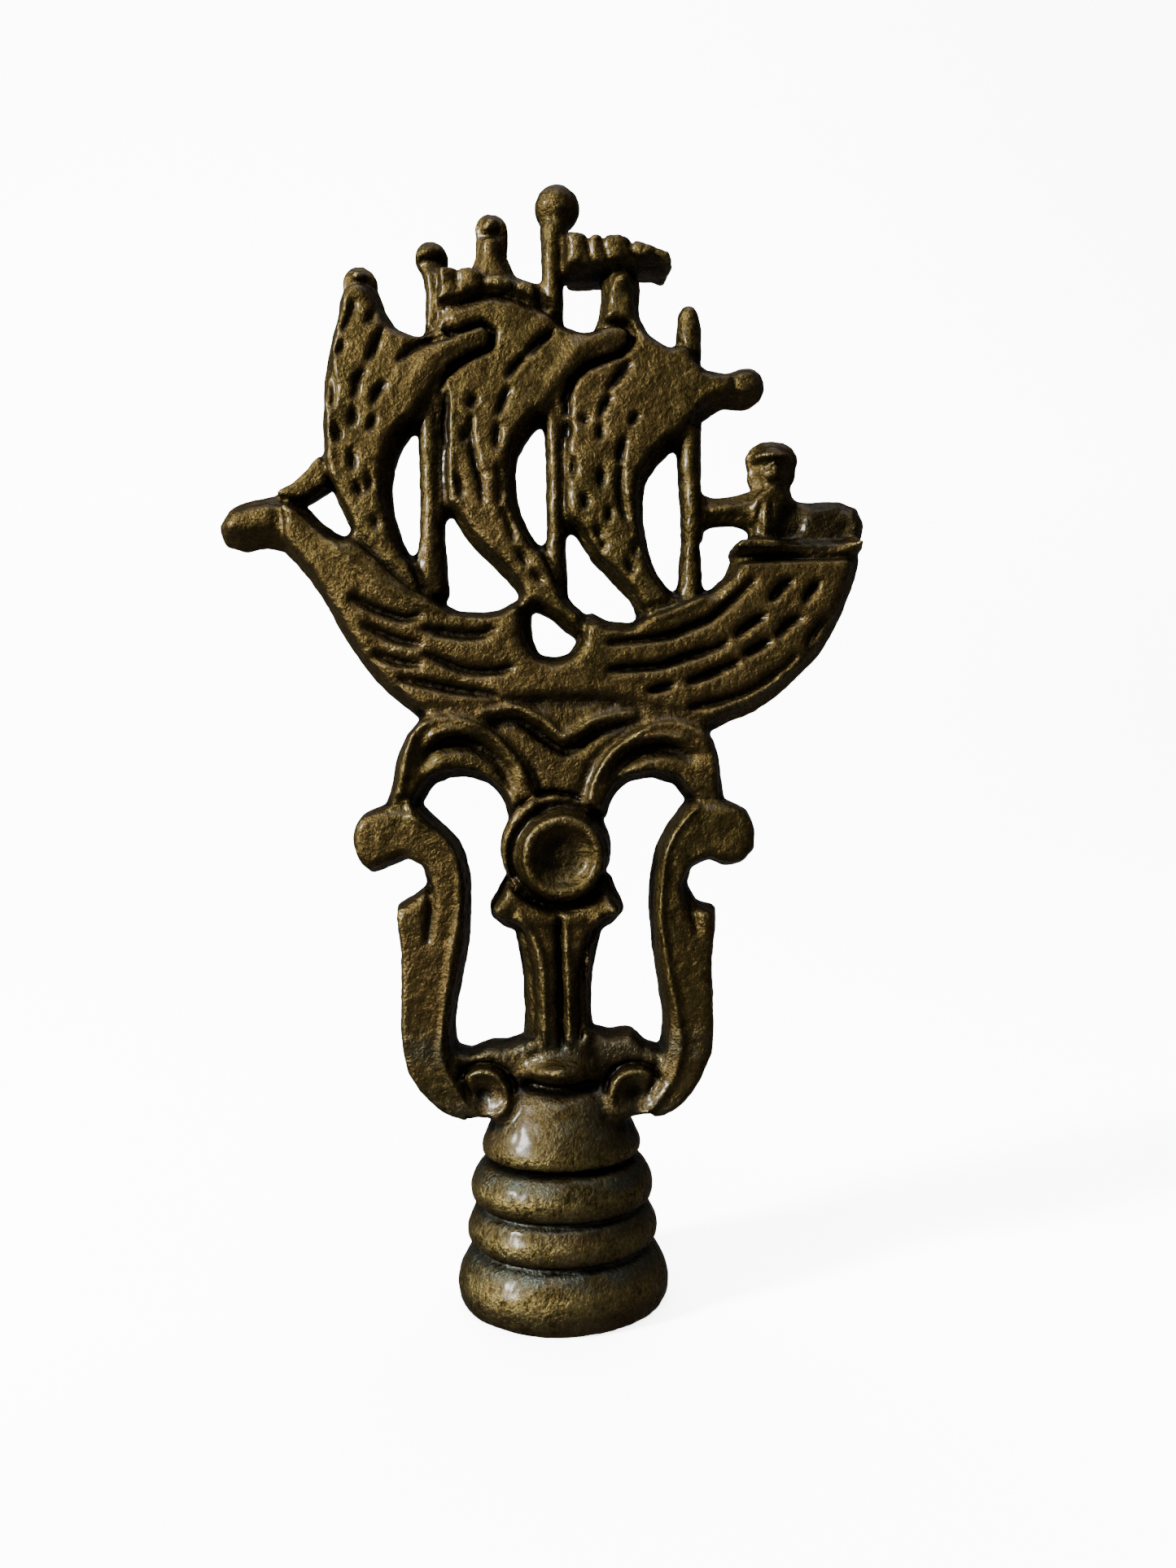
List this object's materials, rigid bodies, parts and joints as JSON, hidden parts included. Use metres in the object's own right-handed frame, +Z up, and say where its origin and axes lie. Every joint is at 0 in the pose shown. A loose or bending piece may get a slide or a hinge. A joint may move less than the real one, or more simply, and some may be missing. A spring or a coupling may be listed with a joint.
{
  "type": "ship finial",
  "caption": "Cast relief sailing ship with three masts on a lyre-shaped scroll bracket and a ringed round socket, screwed to the top of a lamp as a finial.",
  "frame": {"origin": "middle of the threaded socket's mouth, on the base's bottom plane", "axes": "+Z up the socket's axis to the mastheads, -Y is the face shown in front, +X towards the stern of the ship"},
  "size_m": [0.0396, 0.0128, 0.068],
  "materials": {
    "cast_brass": "antiqued sand-cast brass, dark brown patina with worn golden edges",
    "turned_brass": "antiqued turned brass, worn brighter on its rings, grey-green patina in its grooves"
  },
  "bodies": {
    "root": {"base_socket": "turned_brass", "neck": "turned_brass", "left_volute": "cast_brass", "right_volute": "cast_brass", "foot_knob": "cast_brass", "foot_web": "cast_brass", "left_scroll_arm": "cast_brass", "right_scroll_arm": "cast_brass", "fluted_stem": "cast_brass", "stem_collar": "cast_brass", "boss_cup": "cast_brass", "left_arch": "cast_brass", "right_arch": "cast_brass", "pediment": "cast_brass", "hull": "cast_brass", "prow_knob": "cast_brass", "forestay": "cast_brass", "stern_rail": "cast_brass", "stern_castle": "cast_brass", "helmsman": "cast_brass", "fore_mast": "cast_brass", "main_mast": "cast_brass", "mizzen_mast": "cast_brass", "mizzen_mast_stub": "cast_brass", "fore_sail": "cast_brass", "main_sail": "cast_brass", "mizzen_sail": "cast_brass", "fore_pennant": "cast_brass", "main_pennant": "cast_brass"}
  },
  "joints": []
}
